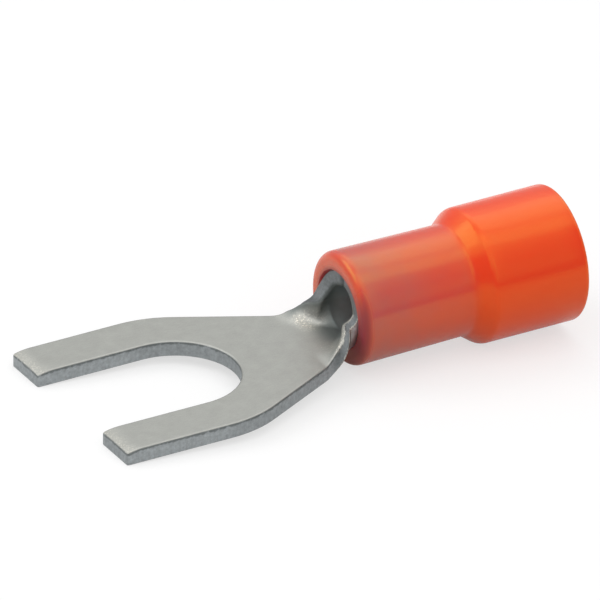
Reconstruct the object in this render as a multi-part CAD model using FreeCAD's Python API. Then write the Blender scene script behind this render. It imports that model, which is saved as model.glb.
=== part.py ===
import FreeCAD, Part
import math
import os

# Fork terminal with an insulating sleeve, in millimetres.
# Origin: centre of the slot's round end, on the underside of the tongue, which is the contact face.
# +X runs along the barrel towards the wire entry, +Z is up, on the side of the seam.

# Sheet metal, stamped from above, so that its upper edges are broken
SHEET = 0.8
EDGE_BREAK = 0.14

# Fork tongue, for an M6 stud
SLOT_WIDTH = 6.5
ARM_WIDTH = 2.57
TIP_REACH = 5.88
TIP_CORNER_RADIUS = 0.18
TAPER_ANGLE = 27.5

# Neck, where the sheet folds up on both sides and closes into the barrel
NECK_HALF_WIDTH = 2.65
NECK_FILLET = 2.0
NECK_FLAT = 0.4
FOLD_LEAD = 0.81
FOLD_LENGTH = 2.05
FOLD_EASE = 1.75
BEND_START_WIDTH = 0.2
FLOOR_HALF_WIDTH = 1.4
FLOOR_NARROWING = 1.15
WING_WIDENING = 0.26
FOLD_SECTIONS = 5
ROUNDING_SECTIONS = 2

# Wire barrel, rolled from two wings that meet at a seam on top
BORE = 2.3
BARREL_LENGTH = 5.9
WING_FRONT_LEAN = 0.16
WING_FILLET = 0.42
MOUTH_LEAD = 0.1
SEAM_GROOVE_WIDTH = 0.3
SEAM_GROOVE_DEPTH = 0.16
SEAM_NOTCH_RADIUS = 0.3
ENTRY_CHAMFER = 0.2

# Insulating sleeve, one moulding pressed on the barrel
GRIP_CLEARANCE = 0.0
SLEEVE_LEAD = 0.2
FRONT_WALL = 0.955
FOOT_WALL = 0.86
SHOULDER_SETBACK = 0.15
SHOULDER_LENGTH = 0.85
FLARE_LENGTH = 5.1
FLARE_BORE = 5.27
FLARE_WALL = 0.8
FUNNEL_LENGTH = 1.0
FRONT_RADIUS = 0.38
SHOULDER_FOOT_RADIUS = 0.35
SHOULDER_TOP_RADIUS = 0.45
RIM_RADIUS = 0.18

# Limits of the drawing itself: the shortest edge of a section, and how close two points are to count as one
HAIR = 0.002
SAME_PLACE = 1e-4

# Fork and neck, worked out from the sizes above
SLOT_RADIUS = SLOT_WIDTH / 2
FORK_HALF_WIDTH = SLOT_RADIUS + ARM_WIDTH
TAPER = math.radians(TAPER_ANGLE)
TAPER_X = FORK_HALF_WIDTH * math.sin(TAPER)
TAPER_Y = FORK_HALF_WIDTH * math.cos(TAPER)
NECK_CORNER = TAPER_X + (TAPER_Y - NECK_HALF_WIDTH) / math.tan(TAPER)
FILLET_REACH = NECK_FILLET * math.tan(TAPER / 2)
TAPER_END = NECK_CORNER - FILLET_REACH * math.cos(TAPER)
FILLET_END = NECK_CORNER + FILLET_REACH
FOLD_START = NECK_CORNER - FOLD_LEAD
NECK_START = FOLD_START - NECK_FLAT
FOLD_UPRIGHT = FOLD_START + FOLD_LENGTH

# Barrel
BORE_RADIUS = BORE / 2
BARREL_RADIUS = BORE_RADIUS + SHEET
AXIS_HEIGHT = BARREL_RADIUS
BARREL_TOP = AXIS_HEIGHT + BARREL_RADIUS
WING_TURN = math.pi / 2 - math.atan(WING_FRONT_LEAN / BARREL_RADIUS)
WING_REACH = WING_FILLET * math.tan(WING_TURN / 2)
BARREL_FRONT = FOLD_UPRIGHT + WING_REACH + WING_FRONT_LEAN
BARREL_BACK = BARREL_FRONT + BARREL_LENGTH
FOLD_ROUND = BARREL_FRONT - MOUTH_LEAD

# Sleeve
GRIP_RADIUS = BARREL_RADIUS + GRIP_CLEARANCE
FLARE_RADIUS = FLARE_BORE / 2 + FLARE_WALL
SLEEVE_FRONT = BARREL_FRONT - SLEEVE_LEAD
SHOULDER_FOOT = BARREL_BACK + SHOULDER_SETBACK
SHOULDER_TOP = SHOULDER_FOOT + SHOULDER_LENGTH
SLEEVE_BACK = SHOULDER_TOP + FLARE_LENGTH

UP = FreeCAD.Vector(0, 0, 1)
ALONG = FreeCAD.Vector(1, 0, 0)
ACROSS = FreeCAD.Vector(0, 1, 0)


def vec(x, y, z=0.0):
    """A point or direction, in the plane z = 0 if no height is given."""
    return FreeCAD.Vector(x, y, z)


def line(a, b):
    """A straight edge."""
    return Part.LineSegment(a, b).toShape()


def arc(start, middle, end):
    """A round edge through three points."""
    return Part.Arc(start, middle, end).toShape()


def smooth_step(t):
    """0 up to t = 0, 1 from t = 1, and a smooth rise between them."""
    t = min(max(t, 0.0), 1.0)
    return t * t * (3 - 2 * t)


def rounded_loop(corners):
    """A closed wire through (point, radius) corners, with a tangent arc at each corner that has a radius."""
    edges = []
    ends = []
    count = len(corners)
    for i, (point, radius) in enumerate(corners):
        before = (corners[i - 1][0] - point).normalize()
        after = (corners[(i + 1) % count][0] - point).normalize()
        if radius == 0:
            ends.append((point, point))
            continue
        half = before.getAngle(after) / 2
        reach = radius / math.tan(half)
        start = point + before * reach
        end = point + after * reach
        middle = (before + after).normalize()
        crown = point + middle * (radius / math.sin(half) - radius)
        edges.append(arc(start, crown, end))
        ends.append((start, end))
    for i in range(count):
        leave = ends[i - 1][1]
        arrive = ends[i][0]
        if leave.distanceToPoint(arrive) > SAME_PLACE:
            edges.append(line(leave, arrive))
    return Part.Wire(Part.__sortEdges__(edges))


def blank_half_width(x):
    """Half width of the unfolded sheet: the taper, a concave fillet, then wings that widen slowly."""
    if x <= TAPER_END:
        return TAPER_Y - math.tan(TAPER) * (x - TAPER_X)
    widening = WING_WIDENING * smooth_step((x - TAPER_END) / (BARREL_FRONT - TAPER_END))
    if x >= FILLET_END:
        return NECK_HALF_WIDTH + widening
    return NECK_HALF_WIDTH + NECK_FILLET - math.sqrt(NECK_FILLET ** 2 - (FILLET_END - x) ** 2) + widening


def floor_half_width(x):
    """Half width of the flat floor between the bends, which narrows to nothing as the section gets round."""
    return min(max(FLOOR_NARROWING * (FOLD_ROUND - x), HAIR), FLOOR_HALF_WIDTH)


def fold_section(x):
    """Sizes of the folded sheet at x: half its floor, the bend's angle and length, and the wall above it.

    The bend turns through a growing angle, up to a right angle where the walls stand upright. From there the
    floor narrows and the bend widens until the two bends make the lower half of the barrel. Lengths are those
    of the sheet's middle layer, which folding leaves as they were.
    """
    floor = floor_half_width(x)
    progress = min(max((x - FOLD_START) / FOLD_LENGTH, 0.0), 1.0) ** FOLD_EASE
    upright_radius = BORE_RADIUS - floor_half_width(max(x, FOLD_UPRIGHT)) + SHEET / 2
    bend = BEND_START_WIDTH + (upright_radius * math.pi / 2 - BEND_START_WIDTH) * progress
    wall = blank_half_width(x) - floor - bend
    return floor, math.pi / 2 * progress, bend, wall


def section_wire(x):
    """The cross-section at x as a closed wire, always of fourteen edges, so that a loft can join them."""
    floor, angle, bend, wall = fold_section(x)
    inner = bend / angle - SHEET / 2 if angle > 0 else 0.0
    forward = (math.cos(angle), math.sin(angle))

    def on_bend(height, share):
        """A point of the bend, on the sheet's face that is at this height over the floor's underside."""
        if angle == 0:
            return (floor + bend * share, height)
        radius = inner + SHEET - height
        turn = angle * share
        return (floor + radius * math.sin(turn), inner + SHEET - radius * math.cos(turn))

    def further(point, distance):
        return (point[0] + forward[0] * distance, point[1] + forward[1] * distance)

    def inward(point, depth):
        return (point[0] + forward[1] * depth, point[1] - forward[0] * depth)

    def sheet_side(height):
        """The outline of one face of the sheet: the bend's start, middle and end, then the wall's end."""
        points = [on_bend(height, share) for share in (0, 0.5, 1)]
        return points + [further(points[2], wall)]

    low = sheet_side(0.0)
    high = sheet_side(SHEET)
    edge_top = inward(high[3], EDGE_BREAK)
    high[3] = further(high[3], -EDGE_BREAK)

    def half_section(side):
        """Edges of one half, from the floor's underside, round the sheet's edge, to the floor's top."""
        a, b, c, d = [vec(x, side * y, z) for y, z in low]
        e, f, g, h = [vec(x, side * y, z) for y, z in high]
        tip = vec(x, side * edge_top[0], edge_top[1])
        lower_bend = arc(a, b, c) if angle > 0 else line(a, c)
        upper_bend = arc(e, f, g) if angle > 0 else line(e, g)
        return [lower_bend, line(c, d), line(d, tip), line(tip, h), line(g, h), upper_bend]

    edges = [line(vec(x, -floor, 0), vec(x, floor, 0))]
    edges += half_section(1)
    edges.append(line(vec(x, floor, SHEET), vec(x, -floor, SHEET)))
    edges += reversed(half_section(-1))
    return Part.Wire(edges)


def tongue():
    """The flat fork up to the neck, with rounded tip corners and its upper edges broken by the punch."""
    crown_x = FORK_HALF_WIDTH * math.sin(TAPER / 2)
    crown_y = FORK_HALF_WIDTH * math.cos(TAPER / 2)
    neck_y = blank_half_width(NECK_START)
    tip = -TIP_REACH
    edges = [arc(vec(0, SLOT_RADIUS), vec(SLOT_RADIUS, 0), vec(0, -SLOT_RADIUS))]
    edges.append(line(vec(NECK_START, neck_y), vec(NECK_START, -neck_y)))
    for side in (1, -1):
        outer = side * FORK_HALF_WIDTH
        inner = side * SLOT_RADIUS
        edges += [
            line(vec(0, inner), vec(tip, inner)),
            line(vec(tip, inner), vec(tip, outer)),
            line(vec(tip, outer), vec(0, outer)),
            arc(vec(0, outer), vec(crown_x, side * crown_y), vec(TAPER_X, side * TAPER_Y)),
            line(vec(TAPER_X, side * TAPER_Y), vec(NECK_START, side * neck_y)),
        ]
    plate = Part.Face(Part.Wire(Part.__sortEdges__(edges))).extrude(UP * SHEET)
    upright = []
    for edge in plate.Edges:
        box = edge.BoundBox
        if box.XMax < tip + SAME_PLACE and box.ZLength > SHEET / 2:
            upright.append(edge)
    plate = plate.makeFillet(TIP_CORNER_RADIUS, upright)
    upper = []
    for edge in plate.Edges:
        box = edge.BoundBox
        if box.ZMin > SHEET - SAME_PLACE and box.XMin < NECK_START - SAME_PLACE:
            upper.append(edge)
    return plate.makeChamfer(EDGE_BREAK, upper)


def spaced(start, end, count):
    """Evenly spaced places from start to end, both included."""
    return [start + (end - start) * i / count for i in range(count + 1)]


def below_axis(start, end):
    """A box that holds all of the sheet between two places along X, up to the height of the barrel's axis."""
    reach = max(FORK_HALF_WIDTH, BARREL_RADIUS)
    return Part.makeBox(end - start, 2 * reach, AXIS_HEIGHT + SHEET, vec(start, -reach, -SHEET))


def neck():
    """The rolled transition: the sheet folds up, then its bends become half of a tube.

    It is a loft through the folded sheet's sections, cut off at the height of the barrel's axis, where the
    wings carry on.
    """
    stations = [NECK_START, (NECK_START + FOLD_START) / 2]
    stations += spaced(FOLD_START, FOLD_UPRIGHT, FOLD_SECTIONS)
    stations += spaced(FOLD_UPRIGHT, FOLD_ROUND, ROUNDING_SECTIONS)[1:]
    folded = Part.makeLoft([section_wire(x) for x in stations], True, False)
    return folded.common(below_axis(NECK_START, FOLD_ROUND))


def barrel_tube(start):
    """The barrel as a plain tube, from a place along X to its rear end."""
    centre = vec(start, 0, AXIS_HEIGHT)
    tube = Part.makeCylinder(BARREL_RADIUS, BARREL_BACK - start, centre, ALONG)
    return tube.cut(Part.makeCylinder(BORE_RADIUS, BARREL_BACK - start, centre, ALONG))


def trough():
    """The lower half of the barrel, which carries on from the neck."""
    return barrel_tube(FOLD_ROUND).common(below_axis(FOLD_ROUND, BARREL_BACK))


def wings():
    """The upper half of the barrel. Seen from the side, its front edge leans and runs out in a fillet."""
    start = vec(FOLD_UPRIGHT, 0, AXIS_HEIGHT)
    centre = start + UP * WING_FILLET
    middle = centre + vec(math.sin(WING_TURN / 2), 0, -math.cos(WING_TURN / 2)) * WING_FILLET
    finish = centre + vec(math.sin(WING_TURN), 0, -math.cos(WING_TURN)) * WING_FILLET
    corners = [
        finish,
        vec(BARREL_FRONT, 0, BARREL_TOP),
        vec(BARREL_BACK, 0, BARREL_TOP),
        vec(BARREL_BACK, 0, AXIS_HEIGHT),
        start,
    ]
    edges = [arc(start, middle, finish)]
    for here, there in zip(corners, corners[1:]):
        edges.append(line(here, there))
    side = Part.Face(Part.Wire(edges))
    side.translate(ACROSS * -BARREL_RADIUS)
    return barrel_tube(start.x).common(side.extrude(ACROSS * 2 * BARREL_RADIUS))


def seam():
    """What the butt seam lacks: a groove along its outside, and a notch where the wings' corners are."""
    half = SEAM_GROOVE_WIDTH / 2
    left = vec(BARREL_FRONT, -half, BARREL_TOP)
    right = vec(BARREL_FRONT, half, BARREL_TOP)
    bottom = vec(BARREL_FRONT, 0, BARREL_TOP - SEAM_GROOVE_DEPTH)
    groove = Part.Face(Part.makePolygon([left, right, bottom, left])).extrude(ALONG * BARREL_LENGTH)
    radius = SEAM_NOTCH_RADIUS
    bulge = radius * (1 - math.sqrt(0.5))
    point = vec(BARREL_FRONT + radius, 0)
    ahead = BARREL_FRONT - radius
    notch = Part.Face(Part.Wire([
        arc(vec(BARREL_FRONT, -radius), vec(BARREL_FRONT + bulge, -bulge), point),
        arc(point, vec(BARREL_FRONT + bulge, bulge), vec(BARREL_FRONT, radius)),
        line(vec(BARREL_FRONT, radius), vec(ahead, radius)),
        line(vec(ahead, radius), vec(ahead, -radius)),
        line(vec(ahead, -radius), vec(BARREL_FRONT, -radius)),
    ]))
    notch.translate(UP * AXIS_HEIGHT)
    return groove.fuse(notch.extrude(UP * (BARREL_TOP - AXIS_HEIGHT)))


def entry_cone():
    """The chamfer inside the barrel's rear end, which leads the wire in."""
    start = vec(BARREL_BACK - ENTRY_CHAMFER, 0, AXIS_HEIGHT)
    return Part.makeCone(BORE_RADIUS, BORE_RADIUS + ENTRY_CHAMFER, ENTRY_CHAMFER, start, ALONG)


def terminal_body():
    """The stamped and rolled metal piece: tongue, neck and barrel in one."""
    body = tongue().fuse([neck(), trough(), wings()])
    return body.cut([seam(), entry_cone()]).removeSplitter().Solids[0]


def insulation_sleeve():
    """The moulded sleeve: a tube that grips the barrel, a shoulder, and a wider tube for the cable."""
    entry = FLARE_BORE / 2
    corners = [
        (vec(BARREL_FRONT, GRIP_RADIUS), 0),
        (vec(SLEEVE_FRONT, GRIP_RADIUS + SLEEVE_LEAD), 0),
        (vec(SLEEVE_FRONT, GRIP_RADIUS + FRONT_WALL), FRONT_RADIUS),
        (vec(SHOULDER_FOOT, GRIP_RADIUS + FOOT_WALL), SHOULDER_FOOT_RADIUS),
        (vec(SHOULDER_TOP, FLARE_RADIUS), SHOULDER_TOP_RADIUS),
        (vec(SLEEVE_BACK, FLARE_RADIUS), RIM_RADIUS),
        (vec(SLEEVE_BACK, entry), 0),
        (vec(BARREL_BACK + FUNNEL_LENGTH, entry), 0),
        (vec(BARREL_BACK, GRIP_RADIUS), 0),
    ]
    sleeve = Part.Face(rounded_loop(corners)).revolve(vec(0, 0), ALONG, 360)
    sleeve.translate(UP * AXIS_HEIGHT)
    return sleeve


def main():
    """Build both pieces and write one file for each."""
    os.makedirs("parts", exist_ok=True)
    nodes = {"terminal_body": terminal_body(), "insulation_sleeve": insulation_sleeve()}
    for name, shape in nodes.items():
        print(name, shape.ShapeType, "valid", shape.isValid(), "volume", round(shape.Volume, 3))
        shape.exportStep("parts/" + name + ".step")


main()
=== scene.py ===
import logging
import math
from dataclasses import dataclass, field
from enum import Enum
from typing import Any, Callable

import bmesh
import bpy
import numpy as np
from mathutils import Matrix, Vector


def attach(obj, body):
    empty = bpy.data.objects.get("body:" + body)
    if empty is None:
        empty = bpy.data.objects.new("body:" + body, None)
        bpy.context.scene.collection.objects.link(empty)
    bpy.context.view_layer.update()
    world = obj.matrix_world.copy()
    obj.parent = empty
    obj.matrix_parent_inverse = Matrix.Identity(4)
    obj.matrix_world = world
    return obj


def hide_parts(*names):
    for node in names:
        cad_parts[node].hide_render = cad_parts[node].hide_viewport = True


# Looks of an insulated fork terminal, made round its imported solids.
# Lengths are in millimetres until a mesh, lamp or camera is made, and fields that hold angles in degrees.
# The frame's axes hold throughout: the origin is the centre of the slot's round end on the tongue's
# underside, +X runs along the barrel, and +Z is up.

MILLIMETRE = 0.001
WELD_DISTANCE = 0.0004
SLOPE_STEP = 0.01
SMALLEST_TURN = 1e-6
NOISE_MIDDLE = 0.5
RIGHT_ANGLE = math.pi / 2

Tone = tuple[float, float, float, float]
Triple = tuple[float, float, float]

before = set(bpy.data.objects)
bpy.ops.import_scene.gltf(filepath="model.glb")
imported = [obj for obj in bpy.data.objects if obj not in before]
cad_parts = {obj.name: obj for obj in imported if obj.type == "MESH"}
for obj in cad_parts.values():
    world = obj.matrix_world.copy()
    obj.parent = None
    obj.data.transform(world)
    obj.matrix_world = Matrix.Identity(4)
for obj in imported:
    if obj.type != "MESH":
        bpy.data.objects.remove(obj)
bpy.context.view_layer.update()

log = logging.getLogger("fork_terminal")


class Side(Enum):
    """The two mirrored halves of the terminal, by the sign of Y."""

    NEAR = -1
    FAR = 1


class Face(Enum):
    """The two faces of the sheet: the one the punch came in from, and the one under it."""

    UPPER = 1
    UNDER = 0


class Mark(Enum):
    """Names of the attributes that the finishes read from the meshes."""

    CUT = "cut_face"
    DEPTH = "cut_depth"
    # The strain mark is real bend strain for roughness and bumps, and also the weight of the painted
    # highlight on the bends, the near lip and the tips.
    STRAIN_AND_HIGHLIGHT = "bend_strain_and_highlight"
    # The hollow mark is painted shade in the neck's hollow and at the barrel's mouth.
    PAINTED_SHADE = "hollow"


@dataclass(frozen=True)
class Ramp:
    """A smooth change from start to end as a value goes from low to high, which may be the lesser of the two.

    With t the share of the way, 3 t^2 - 2 t^3 of the change is done.
    """

    low: float
    high: float
    start: float = 0.0
    end: float = 1.0

    def at(self, value: np.ndarray) -> np.ndarray:
        """The result at each value."""
        share = np.clip((value - self.low) / (self.high - self.low), 0.0, 1.0)
        return self.start + (self.end - self.start) * share * share * (3.0 - 2.0 * share)


@dataclass(frozen=True)
class Cloud:
    """Cloudy noise: its features per unit of length, how many finer layers it has, and their strength."""

    scale: float
    layers: float
    strength: float = 0.5


@dataclass(frozen=True)
class HalfShape:
    """What sets one half of the neck apart: how it folds, how its free edge runs, and how much painted
    highlight it gets.

    The edge angle is the slope of the free edge where the wing starts. The shine weighs the painted
    highlight on the strained bend, and the lip highlight the painted highlight on the lip of the mouth.
    """

    ease: float
    settle: float
    edge_angle: float
    edge_softness: float
    mouth_roll: float
    shine: float
    lip_highlight: float


# Only the near half has the lip's painted highlight, and its bend a weaker painted highlight than the far
# one.
HALVES = {
    Side.NEAR: HalfShape(2.2, 1.5, 22.0, edge_softness=0.3, mouth_roll=0.2, shine=0.3, lip_highlight=1.0),
    Side.FAR: HalfShape(3.0, 1.25, 52.6, edge_softness=0.6, mouth_roll=0.04, shine=1.0, lip_highlight=0.0),
}


def rounded_drop(distance: np.ndarray, radius: Any) -> np.ndarray:
    """How far a rounded edge lies under its face, at a distance d under r: r - sqrt(r^2 - (r - d)^2)."""
    inside = np.clip(radius - distance, 0.0, radius)
    return radius - np.sqrt(radius * radius - inside * inside)


def corner_distance(one: np.ndarray, other: np.ndarray, radius: float) -> np.ndarray:
    """Distance from two edges with a rounded corner: r - |(r - a, r - b)| within r, else the lesser one."""
    near = radius - np.hypot(np.maximum(radius - one, 0.0), np.maximum(radius - other, 0.0))
    return near + np.maximum(np.minimum(one, other) - radius, 0.0)


def graded(start: float, end: float, fine: float, coarse: float) -> np.ndarray:
    """Places from start to end whose spacing grows evenly from fine to coarse.

    Args:
        start: First place.
        end: Last place.
        fine: Spacing at the start.
        coarse: Spacing at the end.

    Returns:
        The places, both ends included.
    """
    count = max(int(math.ceil(2.0 * (end - start) / (fine + coarse))), 1)
    steps = np.linspace(fine, coarse, count)
    places = np.concatenate([[0.0], np.cumsum(steps)])
    return start + (end - start) * places / places[-1]


@dataclass
class SurfaceMesh:
    """Grid surfaces that are gathered and welded into one closed mesh."""

    name: str
    points: list[np.ndarray] = field(default_factory=list)
    quads: list[np.ndarray] = field(default_factory=list)
    marks: dict[Mark, list[np.ndarray]] = field(default_factory=dict)
    count: int = 0

    def add_grid(self, points: np.ndarray, marks: dict[Mark, np.ndarray], wrapped: bool = False) -> None:
        """Adds one surface.

        Args:
            points: Its points as rows, columns and coordinates, in millimetres.
            marks: The attributes of its points, as rows and columns.
            wrapped: True if the last column joins the first.
        """
        rows, columns = points.shape[:2]
        index = self.count + np.arange(rows * columns).reshape(rows, columns)
        if wrapped:
            index = np.concatenate([index, index[:, :1]], axis=1)
        quads = np.stack([index[:-1, :-1], index[1:, :-1], index[1:, 1:], index[:-1, 1:]], axis=-1)
        self.points.append(points.reshape(-1, 3))
        self.quads.append(quads.reshape(-1, 4))
        for mark, values in marks.items():
            spread = np.broadcast_to(values, (rows, columns)).reshape(-1)
            self.marks.setdefault(mark, []).append(spread)
        self.count += rows * columns

    def build(self) -> bpy.types.Object:
        """Makes the object: points that coincide are welded and faces turned outwards.

        Returns:
            The object, at the origin, with smooth shading.
        """
        mesh = bpy.data.meshes.new(self.name)
        points = np.concatenate(self.points) * MILLIMETRE
        mesh.from_pydata(points.tolist(), [], np.concatenate(self.quads).tolist())
        for mark, values in self.marks.items():
            attribute = mesh.attributes.new(mark.value, "FLOAT", "POINT")
            attribute.data.foreach_set("value", np.concatenate(values).astype(np.float32))
        welded = bmesh.new()
        welded.from_mesh(mesh)
        bmesh.ops.remove_doubles(welded, verts=welded.verts, dist=WELD_DISTANCE * MILLIMETRE)
        bmesh.ops.recalc_face_normals(welded, faces=welded.faces)
        welded.to_mesh(mesh)
        welded.free()
        mesh.shade_smooth()
        made = bpy.data.objects.new(self.name, mesh)
        bpy.context.scene.collection.objects.link(made)
        log.info("%s: %d points, %d faces", self.name, len(mesh.vertices), len(mesh.polygons))
        return made


@dataclass
class FlatBlank:
    """The unfolded sheet: its outline, as the half width at each place along X, and its slot."""

    sheet: float = 0.8
    slot_radius: float = 3.25
    arm_width: float = 2.57
    tip_reach: float = 5.88
    tip_corner: float = 0.12
    taper_angle: float = 27.5
    neck_half_width: float = 2.65
    neck_fillet: float = 2.0
    wing_widening: float = 0.26
    barrel_front: float = 9.3007

    @property
    def half_width(self) -> float:
        """Half the width across both prongs."""
        return self.slot_radius + self.arm_width

    @property
    def taper(self) -> float:
        """Slope of the outline behind the fork, in radians."""
        return math.radians(self.taper_angle)

    @property
    def taper_start(self) -> float:
        """Where the round outline passes into the taper."""
        return self.half_width * math.sin(self.taper)

    @property
    def neck_corner(self) -> float:
        """Where the taper and the straight neck would meet without a fillet."""
        touch = self.half_width * math.cos(self.taper)
        return self.taper_start + (touch - self.neck_half_width) / math.tan(self.taper)

    def outline(self, x: np.ndarray) -> np.ndarray:
        """Half width of the blank: straight, circle, its tangent, concave fillet, then slowly widening wings.

        Args:
            x: Places along X.

        Returns:
            The half width at each place.
        """
        reach = self.neck_fillet * math.tan(self.taper / 2)
        fillet_start = self.neck_corner - reach * math.cos(self.taper)
        fillet_end = self.neck_corner + reach
        touch = self.half_width * math.cos(self.taper)
        circle = np.sqrt(self.half_width ** 2 - np.clip(x, 0.0, self.taper_start) ** 2)
        sloped = touch - math.tan(self.taper) * (x - self.taper_start)
        hollow = np.sqrt(self.neck_fillet ** 2 - np.clip(fillet_end - x, 0.0, reach * 2) ** 2)
        widening = Ramp(fillet_start, self.barrel_front, 0.0, self.wing_widening).at(x)
        neck = self.neck_half_width + self.neck_fillet - hollow + widening
        return np.where(x <= self.taper_start, circle, np.where(x <= fillet_start, sloped, neck))

    def slot_distance(self, x: np.ndarray, across: np.ndarray) -> np.ndarray:
        """Distance from the slot's wall: that from its centre line or its end's centre, less the radius."""
        return np.hypot(np.maximum(x, 0.0), across) - self.slot_radius


@dataclass
class FoldLaw:
    """How the flat blank is folded: at each place along X a floor, and on both sides a bend and a wall.

    The places of its ramps along X are counted from where the walls stand upright, or, before the barrel,
    from the barrel. The strain starts and ends at shares of the bend.
    """

    blank: FlatBlank
    side: Side
    bore_radius: float = 1.15
    lead: float = 0.81
    length: float = 2.05
    bend_start_width: float = 0.9
    bend_spread: float = 0.35
    floor_half_width: float = 1.4
    floor_narrowing: float = 1.15
    mouth_lead: float = 0.1
    least_angle: float = 0.05
    floor_softness: Ramp = Ramp(0.3, -0.4, 0.0, 0.35)
    tightening: Ramp = Ramp(-0.35, 0.0)
    edge_cut: Ramp = Ramp(-1.05, -0.65)
    strain_start: Ramp = Ramp(-0.6, 0.3)
    strain_end: Ramp = Ramp(0.8, 1.5, 1.0, 0.0)
    strained_angle: Ramp = Ramp(0.02, 0.35)
    before_barrel: Ramp = Ramp(0.0, -0.5)
    first_turn: float = -0.2
    last_turn: float = 1.5

    @property
    def start(self) -> float:
        """Where the sheet starts to fold."""
        return self.blank.neck_corner - self.lead

    @property
    def upright(self) -> float:
        """Where the walls stand upright."""
        return self.start + self.length

    @property
    def outer_radius(self) -> float:
        """Outside radius of the barrel, which is also the height of its axis."""
        return self.bore_radius + self.blank.sheet

    @property
    def middle_radius(self) -> float:
        """Radius of the barrel's middle layer, whose length folding leaves as it was."""
        return self.bore_radius + self.blank.sheet / 2

    @property
    def half(self) -> HalfShape:
        """What sets this half apart from the other."""
        return HALVES[self.side]

    @property
    def edge_slope(self) -> float:
        """Slope of the free edge where the wing starts, in radians."""
        return math.radians(self.half.edge_angle)

    def floor(self, x: np.ndarray) -> np.ndarray:
        """Half width of the flat floor: it narrows softly at first, then evenly to nothing at the barrel.

        The lesser of a width w and an even narrowing n is softened: (w + n - |(w - n, softness)|) / 2.

        Args:
            x: Places along X.

        Returns:
            The half width at each place.
        """
        end = self.blank.barrel_front - self.mouth_lead
        narrowing = np.maximum(self.floor_narrowing * (end - x), 0.0)
        wide = self.floor_half_width
        softness = self.floor_softness.at(x - self.upright)
        softer = (wide + narrowing - np.hypot(wide - narrowing, softness)) / 2
        return np.clip(softer, 0.0, wide)

    def section(self, x: np.ndarray) -> tuple[np.ndarray, np.ndarray, np.ndarray]:
        """Sizes of the folded section: the bend's angle starts and settles gently, and its length with it.

        With t the share of the way, the angle's share is 1 - (1 - t^e)^s. The bend's length goes by the same
        share from its first width to a quarter circle, whose radius is the barrel's less the floor.

        Args:
            x: Places along X.

        Returns:
            Half the floor, the bend's length and its angle, at each place.
        """
        half = self.half
        way = np.clip((x - self.start) / self.length, 0.0, 1.0)
        progress = 1.0 - (1.0 - way ** half.ease) ** half.settle
        floor = self.floor(x) - self.bend_spread * (1.0 - progress)
        last_floor = self.floor(np.array(self.upright))
        tightening = self.tightening.at(x - self.upright)
        upright_radius = self.middle_radius - last_floor - (self.floor(x) - last_floor) * tightening
        bend = self.bend_start_width + (upright_radius * RIGHT_ANGLE - self.bend_start_width) * progress
        return floor, bend, RIGHT_ANGLE * progress

    def free_edge(self, x: np.ndarray) -> np.ndarray:
        """Distance from the centre line, along the sheet, to its free edge below the barrel's axis.

        It is the blank's outline, softly cut off by a line that reaches the axis' height where the wing
        starts.

        Args:
            x: Places along X.

        Returns:
            The distance at each place.
        """
        floor, bend, angle = self.section(x)
        turned = np.maximum(angle, self.least_angle)
        cut = self.outer_radius - math.tan(self.edge_slope) * np.maximum(self.upright - x, 0.0)
        rise = cut - self.blank.sheet / 2 - bend * (1.0 - np.cos(turned)) / turned
        at_axis = floor + bend + rise / np.sin(turned)
        outline = self.blank.outline(x)
        softness = self.half.edge_softness * np.clip((self.upright - x) / self.length, 0.0, 1.0)
        lower = (outline + at_axis - np.hypot(outline - at_axis, softness)) / 2
        folded = outline + (lower - outline) * self.edge_cut.at(x - self.upright)
        return np.where(x >= self.upright, at_axis, folded)

    def place(self, x: np.ndarray, across: np.ndarray, height: np.ndarray) -> np.ndarray:
        """Folds points of the blank: along the floor, round an arc of the bend's length and angle, and up.

        Args:
            x: Places along X.
            across: Distances from the centre line, along the sheet.
            height: Heights over the sheet's underside.

        Returns:
            The folded points.
        """
        floor, bend, angle = self.section(x)
        along_bend = np.clip(across - floor, 0.0, bend)
        turn = angle * along_bend / bend
        safe = np.maximum(turn, SMALLEST_TURN)
        wall = np.maximum(across - floor - bend, 0.0)
        offset = height - self.blank.sheet / 2
        y = np.minimum(across, floor) + along_bend * np.sin(safe) / safe + wall * np.cos(angle)
        z = self.blank.sheet / 2 + along_bend * (1.0 - np.cos(safe)) / safe + wall * np.sin(angle)
        y = y - offset * np.sin(turn)
        z = z + offset * np.cos(turn)
        return np.stack([x, self.side.value * y, z], axis=-1)

    def strain(self, x: np.ndarray, across: np.ndarray) -> tuple[np.ndarray, np.ndarray]:
        """How much the surface is worked by the bend, softened at both ends of the arc, and the way round it.

        Args:
            x: Places along X.
            across: Distances from the centre line, along the sheet.

        Returns:
            Two shares at each point: how strained it is, and how far it is from the floor to the wall.
        """
        floor, bend, angle = self.section(x)
        share = (across - floor) / bend
        inside = self.strain_start.at(share) * self.strain_end.at(share)
        before_barrel = self.before_barrel.at(x - self.blank.barrel_front)
        turned = np.clip(share, self.first_turn, self.last_turn)
        return inside * before_barrel * self.strained_angle.at(angle), turned


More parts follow.
